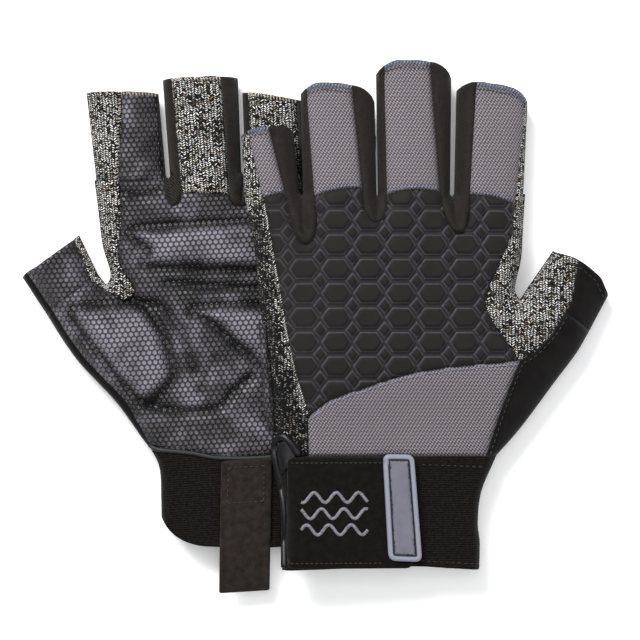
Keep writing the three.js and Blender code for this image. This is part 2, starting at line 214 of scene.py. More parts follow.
def distance(points, line):
    """How far each point is from a line of points."""
    a, b = line[:-1], line[1:]
    along = b - a
    best = np.full(len(points), 1e9)
    for start, way in zip(a, along):
        t = np.clip((points - start) @ way / max(way @ way, 1e-12), 0, 1)
        best = np.minimum(best, np.linalg.norm(points - start - t[:, None] * way, axis=1))
    return best


def nearest(points, lines):
    """How far each point is from the nearest line, and the way to it."""
    best, way_out = np.full(len(points), 1e9), np.zeros_like(points)
    for line in lines:
        for start, along in zip(line[:-1], np.diff(line, axis=0)):
            t = np.clip((points - start) @ along / max(along @ along, 1e-12), 0, 1)
            to = start + t[:, None] * along - points
            far = np.linalg.norm(to, axis=1)
            closer = far < best
            best[closer], way_out[closer] = far[closer], to[closer] / np.maximum(far[closer], 1e-6)[:, None]
    return best, way_out


def inside(points, loop):
    """Which points lie in a closed loop."""
    x, y = points[:, 0], points[:, 1]
    found = np.zeros(len(points), bool)
    for (x0, y0), (x1, y1) in zip(loop, np.roll(loop, -1, axis=0)):
        crosses = (y0 > y) != (y1 > y)
        found ^= crosses & (x < (x1 - x0) * (y - y0) / (y1 - y0 + 1e-30) + x0)
    return found


def offset(line, by):
    """A line moved sideways, to its left as it runs."""
    way = np.gradient(line, axis=0)
    way /= np.linalg.norm(way, axis=1)[:, None]
    return line + by * np.stack([-way[:, 1], way[:, 0]], axis=1)


def smooth(low, high, value):
    t = np.clip((value - low) / (high - low), 0, 1)
    return t * t * (3 - 2 * t)


def hump(away, width):
    """A soft bump: 1 where away is 0, and almost nothing at twice its width."""
    return np.exp(-((away / width) ** 2))


def crown(share):
    """The height of a rounded edge, from 0 at its foot to 1 where it is full."""
    return np.sqrt(np.clip(1 - (1 - np.clip(share, 0, 1)) ** 2, 0, 1))


def noisy(points, scale, seed):
    """Smooth noise from -1 to 1 at plan points, with features about scale across."""
    return np.array([noise.noise(Vector((x / scale, y / scale, seed))) for x, y in points])


SIDE, SEAM, CUT, JOIN = "side", "seam", "cut", "join"   # kinds of a panel's edges
SIDE_ROWS = (0.2, 0.8, 1.8)   # extra rows of points beside the glove's outline, where it is steep


def cut_panel(edges, step, side_rows=SIDE_ROWS):
    """Triangles that fill a loop of (curve, kind) edges: plan points, faces and the outline."""
    outline = np.vstack([curve[:-1] for curve, _ in edges])
    turn = np.sum(outline[:, 0] * np.roll(outline[:, 1], -1) - np.roll(outline[:, 0], -1) * outline[:, 1])
    inward = 1 if turn > 0 else -1
    closed = np.vstack([outline, outline[:1]])
    low, high = outline.min(0), outline.max(0)
    row = step * math.sqrt(3) / 2
    grid = np.array([
        (x + (j % 2) * step / 2, y)
        for j, y in enumerate(np.arange(low[1], high[1], row)) for x in np.arange(low[0], high[0], step)
    ]).reshape(-1, 2)
    grid = grid[inside(grid, outline)]
    grid = grid[distance(grid, closed) > 0.55 * step]
    rows = []
    for curve, kind in edges:
        if kind != SIDE:
            continue
        grid = grid[distance(grid, curve) > side_rows[-1] + 0.4 * step]
        for by in side_rows:
            near = offset(curve, inward * by)[1:-1]
            near = near[inside(near, outline)]
            rows.append(near[distance(near, closed) > 0.9 * by])
    points = np.vstack([outline, *rows, grid])
    result = delaunay_2d_cdt([Vector(p) for p in points], [], [list(range(len(outline)))], 1, 1e-5)
    return np.array([tuple(p) for p in result[0]]), [list(face) for face in result[2]], closed


def unrolling(across=11.0, up=6.5, steps=40):
    """How much longer than its plan the rounded edge is, from the outline (0) to the full glove (1)."""
    angle = np.linspace(0, math.pi / 2, steps)
    rate = np.sqrt((across * np.sin(angle)) ** 2 + (up * np.cos(angle)) ** 2)
    arc = np.concatenate([[0], np.cumsum((rate[1:] + rate[:-1]) / 2 * (angle[1] - angle[0]))])
    return 1 - np.cos(angle), (arc[-1] - arc) - across * np.cos(angle)


UNROLL = unrolling()


# ------------------------------------------------------------------ the rounded glove
class Glove:
    """One glove: its plan, its rounded surface, and where it lies."""

    def __init__(self, prefix, turn, squash, fingers, tips, plan, pinned, folded):
        self.prefix, self.squash, self.fingers, self.tips, self.plan = prefix, squash, fingers, tips, plan
        self.pinned, self.folded = pinned, folded
        self.place = self.find_place(turn) @ Matrix.Scale(0.001, 4)
        self.sides = self.outline_sides()
        self.bends = self.find_bends()

    def find_place(self, turn):
        """The glove's frame, from where its cuff band lies."""
        plan = [*CUFF_ULNAR, *CUFF_CORNERS]
        heights = [(self.rise(x), THICK - CUFF_SINK) for x, _ in plan]
        corners = [turn @ Vector((x, y, z)) for (x, y), pair in zip(plan, heights) for z in pair]
        lowest = Vector([min(c[i] for c in corners) for i in range(3)]) / 1000
        return Matrix.Translation(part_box(f"{self.prefix}_cuff_band")[0] - lowest) @ turn.to_4x4()

    def find_bends(self):
        """Where each moving part starts to bend away from the hand, and where it is all its own."""
        foot, way = Vector((*FLEX_FOOT, 0)), Vector((*FLEX_WAY, 0))
        (x, y), hinge, out = STRAP["from"], TAB["hinge"], 1 if self.folded else -1
        return {
            "fingers": (Vector((0, FLEX_FROM, 0)), Vector((0, FLEX_TO, 0))),
            "thumb": (foot + 0.5 * way, foot + 14 * way),
            "strap": (Vector((x, y, 12)), Vector((x + 9, y, 12))),
            "tab": (Vector((0, hinge - out, 0)), Vector((0, hinge + 3 * out, 0))),
        }

    def moved(self, finger):
        """What bends with a finger: nothing, where the other glove lies on it."""
        return {} if finger in self.pinned else {"bend": "fingers"}

    def edge(self, name):
        """A side of the outline, as an edge of a panel."""
        return self.sides[name], SIDE

    def rise(self, x):
        return self.squash * (60 - x) / 120

    def tip_y(self, finger, x):
        """How far up a finger's arched tip is at x."""
        (x0, x1), (left, right, arch) = self.fingers[finger]["tip"], self.tips[finger]
        t = np.clip((x - x0) / (x1 - x0), 0, 1)
        return left + (right - left) * t + arch * (1 - np.abs(2 * t - 1) ** 4)

    def tip_edge(self, finger, x0, x1):
        xs = np.linspace(x0, x1, max(2, round(abs(x1 - x0) / STEP) + 1))
        return np.stack([xs, self.tip_y(finger, xs)], axis=1)

    def mouth_line(self, finger, x0, x1, inset, below):
        """A line across a finger just below its tip, for stitches."""
        xs = np.linspace(x0 + inset, x1 - inset, 24)
        return np.column_stack([xs, self.tip_y(finger, xs) - below])

    def finger_line(self, finger, root, tip):
        """A straight line up a finger from its root to its tip."""
        return spline([root, (tip, float(self.tip_y(finger, tip)))])

    def outline_sides(self):
        sides = {
            "ulnar": spline(ULNAR_SIDE), "ulnar_root": spline(ULNAR_ROOT), "radial": spline(RADIAL_SIDE, 1.0),
            "thumb_inner": spline([THUMB_INNER, self.plan["thumb_tip"][-1]]),
            "thumb_outer": spline([self.plan["thumb_side"][0], self.plan["thumb_tip"][0]]),
            "thumb_side": spline(self.plan["thumb_side"]),
            "cuff_ulnar": spline(CUFF_ULNAR), "cuff_radial": spline(self.plan["radial"]),
        }
        for finger in NAMES:
            for i, hand in enumerate(("left", "right")):
                root, tip = (self.fingers[finger][end][i] for end in ("root", "tip"))
                sides[f"{finger}_{hand}"] = self.finger_line(finger, (root, ROOT), tip)
        for i, (a, b) in enumerate(zip(NAMES, NAMES[1:])):
            left, right = self.fingers[a]["root"][1], self.fingers[b]["root"][0]
            floor = [(left, ROOT), ((left + right) / 2, ROOT - 1), (right, ROOT)]
            for hand, part in (("left", (0, 1)), ("right", (1, 2))):
                sides[f"floor{i}_{hand}"] = spline(floor, 0.7, part)
        return sides

    def levels(self, x, y):
        """The heights of the palm and of the back where the glove is full."""
        fingers = smooth(148, 196, y)
        thumb = smooth(0, 26, (x - FLEX_FOOT[0]) * FLEX_WAY[0] + (y - FLEX_FOOT[1]) * FLEX_WAY[1] + 8)
        thumb = np.where((x > 56) & (y < 132), thumb, 0)
        sink = CUFF_SINK * smooth(HAND_FULL + 4, CUFF_TOP - 2, y)
        palm = self.rise(x) + 1.6 * np.maximum(fingers, thumb)
        back = THICK - sink - 2.6 * np.maximum(fingers, thumb)
        return palm, back

    def surface(self, xy, side, lift=0.0):
        """Plan points lifted on to the glove's outer surface, and out of it by lift."""
        x, y = xy[:, 0], xy[:, 1]
        depth, way_out = nearest(xy, self.sides.values())
        round_off = 4.5 + 8.5 * smooth(38, 72, y)
        share = np.clip(depth / round_off, 0, 1)
        full = crown(share)
        palm, back = self.levels(x, y)
        middle = palm + 0.45 * (back - palm)
        wrinkle = 0.5 * noisy(xy, 17, 3.1 if side == BACK else 8.7) + 0.22 * noisy(xy, 6, 1.7)
        wrinkle *= 0.25 + 0.75 * smooth(44, 60, y)
        if side == BACK:
            z = middle + (back - middle + lift + wrinkle) * full
            z = z if self.folded else np.minimum(z, THICK - REST)
        else:
            z = middle - (middle - palm + lift + wrinkle) * full
        self.unrolled = xy + way_out * (round_off / 11 * np.interp(share, *UNROLL))[:, None]
        return np.column_stack([x, y, z])

    # ---- making pieces
    def finish(self, piece, node, slot, body="hand", bend=None):
        """Puts a finished mesh in place of its CAD node, on a body; a part that would bend gets its transform
        baked in and stays on no body.
        """
        if node and f"{self.prefix}_{node}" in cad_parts:
            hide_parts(f"{self.prefix}_{node}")
        if bend:
            start, end = (self.place @ at for at in self.bends[bend])
            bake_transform(piece)
            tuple(start)
            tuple(end)
        else:
            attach(piece, f"{self.prefix}_{body}")
        return piece

    def solid(self, name, points, faces, slot, plan=None, depth=None, thickness=0.0, colour=None):
        """A mesh object from points in the glove's frame, thickened inwards."""
        mesh = bpy.data.meshes.new(f"{self.prefix}_{name}")
        mesh.from_pydata([tuple(p) for p in points], [], faces)
        piece = bpy.data.objects.new(mesh.name, mesh)
        bpy.context.scene.collection.objects.link(piece)
        if plan is not None:
            put(mesh, "plan", "FLOAT_VECTOR", plan)
        if depth is not None:
            put(mesh, "relief", "FLOAT", depth)
        tidy = bmesh.new()
        tidy.from_mesh(mesh)
        bmesh.ops.remove_doubles(tidy, verts=tidy.verts, dist=0.02)
        bmesh.ops.dissolve_degenerate(tidy, edges=tidy.edges, dist=1e-4)
        tidy.to_mesh(mesh)
        tidy.free()
        if thickness:
            modifier = piece.modifiers.new("thickness", "SOLIDIFY")
            modifier.thickness, modifier.offset = thickness, -1
            apply_modifiers(piece)
        piece.data.transform(self.place)
        for vertex in piece.data.vertices:
            vertex.co.z = max(vertex.co.z, ABOVE_FLOOR)
        piece.data.materials.clear()
        piece.data.materials.append(MATERIALS[colour or slot])
        piece.data.shade_smooth()
        return piece

    def trim(self, name, mesh, slot, colour, bend=None, **marks):
        """A stitch row or tube with a colour of its own, which stands for no CAD node."""
        return self.finish(self.solid(name, *mesh, slot, colour=colour, **marks), None, slot, bend=bend)

    def panel(self, node, slot, parts, bend=None, relief=None, step=STEP, puff=0.8, hem=0.0):
        """A sewn panel from its parts, each a side of the glove and a loop of edges."""
        points, faces, plan, depth = [], [], [], []
        for side, edges in parts:
            flat, triangles, _ = cut_panel(edges, step)
            lift, mark = (relief(flat, side) if relief else (np.zeros(len(flat)), np.zeros(len(flat))))
            seams = [distance(flat, curve) for curve, kind in edges if kind == SEAM]
            if seams:
                lift = lift - puff * hump(np.min(seams, axis=0), 1.3)
                # on spandex the mark darkens the cloth beside the seams: painted shade
                if slot == "spandex":
                    mark = mark - hump(np.min(seams, axis=0), 1.9)
            ends = [distance(flat, curve) for curve, kind in edges if kind == CUT]
            if ends and hem:
                near = np.min(ends, axis=0)
                lift = lift + 0.7 * smooth(hem + 0.8, hem - 0.4, near)
                if slot != "grip_leather":
                    mark = np.maximum(mark, smooth(hem + 0.5, hem - 0.5, near))
            start = sum(len(p) for p in points)
            points.append(self.surface(flat, side, lift))
            turned = triangles if side == BACK else [face[::-1] for face in triangles]
            faces += [[i + start for i in face] for face in turned]
            plan.append(np.column_stack([self.unrolled, np.full(len(flat), 0.0 if side == BACK else 50.0)]))
            depth.append(mark)
        points = np.vstack(points)
        area = surface_area(points, faces)
        piece = self.solid(node, points, faces, slot, np.vstack(plan), np.concatenate(depth), CLOTH)
        self.finish(piece, node, slot, bend=bend)
        flat, area = cut_size([p[:, :2] for p in plan], area)
        return piece

    def stitches(self, name, side, line, slot, bend=None, lift=0.12, pitch=2.5, size=0.28, across=0.0,
                 colour="thread_dark"):
        """A row of stitches on the surface, along a plan line or across it."""
        at = self.surface(resampled(np.array(line, float), pitch), side, lift)
        mesh = beads(at, across or 0.34 * pitch, size, slant=70 if across else 0)
        return self.trim(name, mesh, slot, colour, bend)


def put(mesh, name, kind, values):
    attribute = mesh.attributes.new(name, kind, "POINT")
    key = "vector" if kind == "FLOAT_VECTOR" else "value"
    attribute.data.foreach_set(key, np.asarray(values, np.float32).ravel())


def surface_area(points, faces):
    """The area of a mesh's faces, in square millimetres."""
    corners = points[[face[i:i + 1] + face[j:j + 1] + face[:1] for face in faces
                      for i, j in zip(range(1, len(face) - 1), range(2, len(face)))]]
    a, b, c = corners[:, 0], corners[:, 1], corners[:, 2]
    return float(np.linalg.norm(np.cross(b - a, c - a), axis=1).sum() / 2)


def cut_size(parts, area):
    """The rectangle that a panel's unrolled parts are cut from side by side, and their area, in metres."""
    long, whole = 0.0, 0.0
    for part in parts:
        centred = part - part.mean(0)
        spans = np.ptp(centred @ np.linalg.svd(centred, full_matrices=False)[2].T, axis=0)
        long, whole = max(long, spans.max()), whole + spans.prod()
    return (max(whole / long / 1000, LEAST_CUT), long / 1000), min(area, whole) / 1e6


def apply_modifiers(piece):
    evaluated = piece.evaluated_get(bpy.context.evaluated_depsgraph_get())
    final = bpy.data.meshes.new_from_object(evaluated)
    piece.modifiers.clear()
    piece.data = final


def beads(line, half, radius, slant=0):
    """One small rounded stitch at each point of a line, at an angle to the line."""
    rings, spokes = 3, 6
    way = np.gradient(line, axis=0)
    points, faces = [], []
    for centre, along in zip(line, way):
        along = Matrix.Rotation(math.radians(slant), 3, "Z") @ Vector(along).normalized()
        across = along.cross(Vector((0, 0, 1))).normalized()
        up = across.cross(along)
        start = len(points)
        points.append(tuple(Vector(centre) - along * half))
        for r in range(1, rings + 1):
            angle = math.pi * r / (rings + 1)
            for s in range(spokes):
                turn = 2 * math.pi * s / spokes
                swing = (across * math.cos(turn) + up * math.sin(turn)) * radius * math.sin(angle)
                points.append(tuple(Vector(centre) - along * half * math.cos(angle) + swing))
        points.append(tuple(Vector(centre) + along * half))
        last = len(points) - 1
        for s in range(spokes):
            t = (s + 1) % spokes
            faces.append([start, start + 1 + t, start + 1 + s])
            for r in range(rings - 1):
                a, b = start + 1 + r * spokes, start + 1 + (r + 1) * spokes
                faces.append([a + s, a + t, b + t, b + s])
            a = start + 1 + (rings - 1) * spokes
            faces.append([a + s, a + t, last])
    return points, faces


def pipe(line, radius, spokes=10, flat=1.0):
    """A round or flattened tube along a line of points."""
    count = len(line)
    points, faces = [], []
    for centre, along in zip(line, np.gradient(line, axis=0)):
        along = Vector(along).normalized()
        across = along.cross(Vector((0, 0, 1)))
        across = across.normalized() if across.length > 1e-4 else Vector((1, 0, 0))
        up = across.cross(along)
        for s in range(spokes):
            turn = 2 * math.pi * s / spokes
            swing = across * math.cos(turn) * flat + up * math.sin(turn)
            points.append(tuple(Vector(centre) + radius * swing))
    for a in range(0, (count - 1) * spokes, spokes):
        for s in range(spokes):
            t = (s + 1) % spokes
            faces.append([a + s, a + spokes + s, a + spokes + t, a + t])
    faces.append(list(range(spokes)))
    faces.append([(count - 1) * spokes + s for s in reversed(range(spokes))])
    return points, faces


# ------------------------------------------------------------------ materials
def operation(name, swapped=False):
    """A method that adds a math node."""
    def apply(self, *others):
        values = (self, *others)
        return self.nodes.math(name, *(values[::-1] if swapped else values))
    return apply


class Value:
    """A node's output that can be used in sums: each one adds a math node."""
    __add__ = operation("ADD")
    __sub__ = operation("SUBTRACT")
    __rsub__ = operation("SUBTRACT", swapped=True)
    __mul__ = operation("MULTIPLY")
    __truediv__ = operation("DIVIDE")
    __pow__ = operation("POWER")
    __abs__ = operation("ABSOLUTE")
    fract = operation("FRACT")
    floor = operation("FLOOR")
    sine = operation("SINE")
    root = operation("SQRT")
    least = operation("MINIMUM")
    most = operation("MAXIMUM")

    def __init__(self, nodes, socket):
        self.nodes, self.socket = nodes, socket


class Nodes:
    """A short way to write a material's node tree."""

    def __init__(self, name):
        self.material = bpy.data.materials.new(name)
        self.material.use_nodes = True
        self.tree = self.material.node_tree
        self.shader = self.tree.nodes["Principled BSDF"]
        self.plan = self.make("ShaderNodeAttribute", out="Vector", attribute_name="plan")
        self.relief = self.make("ShaderNodeAttribute", out="Fac", attribute_name="relief")

    def make(self, kind, inputs=None, out=0, **settings):
        node = self.tree.nodes.new(kind)
        for key, value in settings.items():
            setattr(node, key, value)
        for key, value in (inputs or {}).items():
            self.put(node.inputs[key], value)
        return Value(self, node.outputs[out])

    def put(self, socket, value):
        if isinstance(value, Value):
            self.tree.links.new(value.socket, socket)
        else:
            socket.default_value = value

    def math(self, operation, *values):
        return self.make("ShaderNodeMath", dict(enumerate(values)), operation=operation)

    def between(self, value, low, high, way="LINEAR"):
        """From 0 at low to 1 at high."""
        inputs = {"Value": value, "From Min": low, "From Max": high}
        return self.make("ShaderNodeMapRange", inputs, clamp=True, interpolation_type=way)

    def ramp(self, value, *stops):
        made = self.make("ShaderNodeValToRGB", {"Fac": value}, "Color")
        elements = made.socket.node.color_ramp.elements
        while len(elements) < len(stops):
            elements.new(0.5)
        for element, (at, colour) in zip(elements, stops):
            element.position, element.color = at, (*colour, 1)
        return made

    def noise(self, scale, detail=3.0, rough=0.55):
        inputs = {"Vector": self.plan, "Scale": scale, "Detail": detail, "Roughness": rough}
        return self.make("ShaderNodeTexNoise", inputs, "Fac")

    def wave(self, scale, distortion, way, turn=0.0, detail=2.0):
        inputs = {"Vector": self.plan, "Scale": (1, 1, 1), "Rotation": (0, 0, turn)}
        at = self.make("ShaderNodeMapping", inputs, vector_type="POINT")
        inputs = {"Vector": at, "Scale": scale, "Distortion": distortion, "Detail": detail}
        return self.make("ShaderNodeTexWave", inputs, "Fac", bands_direction=way)

    def axes(self):
        made = self.make("ShaderNodeSeparateXYZ", {0: self.plan})
        return [Value(self, socket) for socket in made.socket.node.outputs[:2]]

    def mix(self, factor, one, two, way="MIX"):
        whole = {key: value if isinstance(value, Value) else (*value, 1) for key, value in ((6, one),
                                         (7, two))}
        return self.make("ShaderNodeMix", {0: factor, **whole}, 2, data_type="RGBA", blend_type=way)

    def bump(self, height, distance, strength=1.0):
        inputs = {"Height": height, "Distance": distance, "Strength": strength}
        self.put(self.shader.inputs["Normal"], self.make("ShaderNodeBump", inputs))

    def set(self, **values):
        for key, value in values.items():
            self.put(self.shader.inputs[key.replace("_", " ")], value)
        return self.material


def srgb(*levels):
    return tuple((v / 255) ** 2.2 for v in levels)


def near_lattice(n, pitch):
    """How far a point is from the nearest one of a triangular lattice, in pitches."""
    x, y = n.axes()
    tall = 1.732

    def to_lattice(shift):
        u = (x / pitch + (100 + shift)).fract() - 0.5
        v = ((y / (pitch * tall) + (100 + shift)).fract() - 0.5) * tall
        return (u * u + v * v).root()

    return to_lattice(0.0).least(to_lattice(0.5))


def grip_leather():
    """Black synthetic leather covered with small raised glossy dots, paler where the relief is high: painted
    light on the raised pads and painted shade in the folds.
    """
    n = Nodes("grip_leather")
    apart = near_lattice(n, 2.27)
    dot = n.between(apart, 0.51, 0.43)
    dome = n.between(apart, 0.51, 0.3, "SMOOTHSTEP")
    # random tone, plus painted light and shade from the relief: paler on the pads, darker in the folds
    wear_and_painted_light = n.noise(0.09, 4) + n.relief * 0.22
    tone = n.ramp(wear_and_painted_light, (0.3, srgb(24, 22, 23)), (0.5, srgb(54, 51, 54)), (0.75, srgb(112, 109, 118)))
    ground = n.ramp(n.noise(0.8, 3), (0.3, srgb(3, 3, 3)), (0.7, srgb(9, 8, 8)))
    n.bump(dome + n.noise(2.4, 2) * 0.15, 0.0007)
    return n.set(Base_Color=n.mix(dot, ground, tone), Specular_IOR_Level=0.5,
                 Roughness=n.make("ShaderNodeMapRange", {"Value": dot, "To Min": 0.8, "To Max": 0.42}))


def cut_knit():
    """Salt-and-pepper knit: slanting pale stitches on black, with painted shade along each strand's edges and
    in the gaps between rows. A relief of -1 is its darker part.
    """
    n = Nodes("cut_knit")
    x, y = n.axes()
    wide, tall = 2.5, 0.86
    u = (x + n.noise(0.3, 1) * 1.5) / wide + 200.0
    slope = abs(u.fract() - 0.5) * 1.9
    v = (y / tall + n.noise(0.2, 2) * 3.0) + (slope + 20.0)
    stitch = n.make("ShaderNodeCombineXYZ", {0: (u * 2.0).floor(), 1: v.floor()})
    edge_darkening = n.relief.least(0.0)
    pick = n.make("ShaderNodeTexWhiteNoise", {"Vector": stitch}, "Value") + edge_darkening * 0.3
    yarn = n.ramp(pick, (0.0, srgb(20, 18, 17)), (0.16, srgb(66, 61, 57)), (0.23, srgb(148, 126, 94)),
                  (0.3, srgb(156, 148, 136)), (0.44, srgb(204, 202, 198)), (1.0, srgb(254, 254, 252)))
    ends = abs((u * 2.0).fract() - 0.5)
    strand = (v.fract() * math.pi).sine() * (1.0 - (ends * 2.0) ** 5.0)
    # painted shade: each strand darkens towards its edges, and the gaps between rows go near black
    strand_shade = strand + (n.noise(0.12, 2) - 0.5) * 0.5 + edge_darkening * 0.15
    shade = n.ramp(strand_shade, (0.68, (0.006, 0.006, 0.006)), (0.82, (0.45, 0.45, 0.45)), (0.92, (1, 1, 1)))
    n.bump(strand, 0.0005, 0.9)
    return n.set(Base_Color=n.mix(1.0, yarn, shade, "MULTIPLY"), Roughness=0.85, Sheen_Weight=0.05,
                 Specular_IOR_Level=0.15)


def grey_weave():
    """Coarse grey stretch weave, with smoother and bluer hems at the finger mouths."""
    n = Nodes("grey_weave")
    x, y = n.axes()
    over = (x * 4.4 + y * 1.5).sine()
    under = ((y + over * 0.08) * 4.1).sine()
    both = over * under * 0.34 + n.noise(2.2, 4, 0.7)
    cloth = n.ramp(both, (0.15, srgb(28, 26, 28)), (0.45, srgb(93, 88, 92)), (0.85, srgb(160, 154, 160)))
    hem = n.ramp(n.noise(1.1, 3), (0.3, srgb(56, 58, 70)), (0.7, srgb(90, 94, 112)))
    n.bump(both, 0.0005, 0.9)
    return n.set(Base_Color=n.mix(n.relief, cloth, hem), Roughness=0.82, Sheen_Weight=0.08,
                 Specular_IOR_Level=0.15)


def back_laminate():
    """Dark stretch fabric bonded to foam: dark raised cells, paler grooves between them, and a painted
    highlight along the cells' edges.
    """
    n = Nodes("back_laminate")
    fine = n.noise(3.0, 3)
    x, y = n.axes()

    def from_centre(shift):
        return [abs(((value - centre) / pitch + (100.5 + shift)).fract() - 0.5) * pitch
                for value, centre, pitch in zip((x, y), HEX_CENTRE, HEX_PITCH)]

    across, up = from_centre(0.0)
    six = (up - HEX_HALF).most((across + up * HEX_SLOPE - HEX_REACH) / HEX_SLANT)
    across, up = from_centre(0.5)
    edge = abs(six.least((across / DIAMOND[0] + up / DIAMOND[1] - 1.0) * DIAMOND_SLANT))
    # painted highlight: a thin pale line along each cell's edge, stronger where the relief mark is high
    line = n.between(edge, 0.42, 0.1) * ((n.relief + 0.3) * n.noise(0.5, 4, 0.7))
    cell = n.ramp(fine, (0.3, srgb(19, 16, 16)), (0.7, srgb(36, 31, 31)))
    groove = n.ramp(fine, (0.3, srgb(26, 24, 25)), (0.7, srgb(46, 42, 44)))
    pale = n.ramp(fine, (0.3, srgb(66, 63, 70)), (0.7, srgb(108, 104, 114)))
    n.bump((x * 7.0).sine() * (y * 7.0).sine() * 0.3 + fine, 0.0002, 0.6)
    tone = n.mix(line, n.mix(n.relief, cell, groove), pale)
    return n.set(Base_Color=tone, Roughness=0.7, Sheen_Weight=0.05, Specular_IOR_Level=0.2)


def spandex():
    """Thin black stretch fabric with fine slanting ribs. A relief of -1 is painted shade, at the bottom of a
    fold or beside a seam.
    """
    n = Nodes("spandex")
    rib = n.wave(0.36, 0.5, "X", turn=0.7)
    tone = n.ramp(rib * n.noise(0.5, 2), (0.08, srgb(8, 7, 6)), (0.5, srgb(45, 39, 35)))
    # painted shade: darker towards the bottom of a fold and beside the seams
    seam_and_fold_shade = (n.relief * -1.0).most(0.0).least(1.0)
    n.bump(rib, 0.0003, 0.8)
    return n.set(Base_Color=n.mix(seam_and_fold_shade, tone, srgb(5, 4, 4)), Roughness=0.68, Sheen_Weight=0.06,
                 Specular_IOR_Level=0.2)


def suede():
    n = Nodes("suede")
    nap = n.noise(1.6, 4, 0.7) * 0.6 + n.noise(0.14, 3) * 0.5
    n.bump(n.noise(5.0, 3), 0.00015, 0.6)
    return n.set(Base_Color=n.ramp(nap, (0.35, srgb(11, 10, 10)), (0.75, srgb(28, 26, 25))), Roughness=0.92,
                 Sheen_Weight=0.12, Specular_IOR_Level=0.08)


def elastic():
    """Ribbed elastic: ribs across the wrist."""
    n = Nodes("elastic")
    rib, speck = n.wave(0.34, 2.5, "Y"), n.noise(0.9, 2, 0.6)
    tone = n.ramp(rib * 0.3 + speck, (0.5, srgb(3, 2, 2)), (0.88, srgb(32, 27, 25)))
    n.bump(rib * 0.5 + speck, 0.0004, 0.8)
    return n.set(Base_Color=tone, Roughness=0.85, Sheen_Weight=0.06, Specular_IOR_Level=0.1)


def neoprene(name, low, high):
    """Foam sheet faced with a fine knit."""
    n = Nodes(name)
    at = n.make("ShaderNodeMapping", {"Vector": n.plan, "Scale": (2.6, 1.9, 1)}, vector_type="POINT")
    knit = n.make("ShaderNodeTexVoronoi", {"Vector": at, "Scale": 1.0, "Randomness": 0.35}, "Distance")
    tone = n.ramp(knit * 0.4 + n.noise(0.35, 4), (0.4, srgb(*low)), (0.9, srgb(*high)))
    n.bump(knit, 0.0003, 0.7)
    return n.set(Base_Color=tone, Roughness=0.88, Sheen_Weight=0.06, Specular_IOR_Level=0.1)


def rubber():
    """Moulded rubber: a relief of 1 is its raised rim, painted paler as a highlight, and below 0 its groove,
    painted dark as shade.
    """
    n = Nodes("rubber")
    tone = n.ramp(n.noise(0.2, 3) * 0.5 + n.noise(6, 2) * 0.4, (0.3, srgb(88, 88, 98)),
                 (0.6, srgb(103, 103, 115)))
    # painted highlight on the rim, then painted shade in the groove
    shown = n.mix(n.relief.most(0.0), tone, srgb(124, 127, 140))
    shown = n.mix((n.relief * -1.4).least(1.0).most(0.0), shown, srgb(24, 24, 30))
    n.bump(n.noise(7, 2), 0.0001, 0.5)
    return n.set(Base_Color=shown, Roughness=0.5, Specular_IOR_Level=0.4)


def foam():
    n = Nodes("foam")
    n.bump(n.noise(6, 2), 0.0003, 0.8)
    return n.set(Base_Color=n.ramp(n.noise(3, 3), (0.3, srgb(46, 46, 48)),
                (0.7, srgb(66, 66, 68))), Roughness=0.95)


def plain(name, low, high, roughness, **more):
    """A thread or binding: two tones of one colour, by fine noise in the object's own place."""
    n = Nodes(name)
    here = n.make("ShaderNodeTexCoord", out="Object")
    grain = n.make("ShaderNodeTexNoise", {"Vector": here, "Scale": 1000.0, "Detail": 3}, "Fac")
    n.bump(grain, 0.0001, 0.5)
    return n.set(Base_Color=n.ramp(grain, (0.35, srgb(*low)),
                (0.65, srgb(*high))), Roughness=roughness, **more)


CLOTHS = grip_leather, cut_knit, grey_weave, back_laminate, spandex, suede, elastic, rubber, foam
FACED = {"neoprene": ((11, 9, 8), (25, 22, 20)), "tab_cloth": ((27, 24, 22), (48, 43, 40))}
THREADS = {
    "thread_dark": ((14, 14, 15), (40, 39, 40), 0.6), "thread_pale": ((84, 89, 108), (128, 134, 158), 0.6),
    "thread_tan": ((110, 98, 80), (190, 180, 162), 0.7), "thread_grey": ((84, 84, 88), (118, 118, 124), 0.6),
    "hem_leather": ((14, 14, 15), (30, 30, 33), 0.6),
}
MATERIALS = {
    **{cloth.__name__: cloth() for cloth in CLOTHS},
    **{name: neoprene(name, *tones) for name, tones in FACED.items()},
    **{name: plain(name, *look) for name, look in THREADS.items()},
    "binding": plain("binding", (6, 6, 8), (16, 16, 21), 0.42, Specular_IOR_Level=0.35),
}


# ------------------------------------------------------------------ reliefs: lift and mark at plan points
def hexagons(flat, side):
    """Raised six-sided cells in rows, small diamonds between them, on the back of the hand."""
    def cell(shift):
        near = (flat - np.array(HEX_CENTRE)) / HEX_PITCH + shift
        return np.abs((near - np.round(near)) * HEX_PITCH).T

    x, y = cell(0.0)
    six = np.maximum(y - HEX_HALF, (x + HEX_SLOPE * y - HEX_REACH) / HEX_SLANT)
    x, y = cell(0.5)
    edge = np.minimum(six, (x / DIAMOND[0] + y / DIAMOND[1] - 1) * DIAMOND_SLANT)
    strength = 0.35 + 0.65 * smooth(-46, -14, flat[:, 0])
    return (1.8 * smooth(0.5, -0.7, edge) - 1.1) * strength, smooth(-0.4, 0.4, edge) * (0.2 + 0.8 * strength)


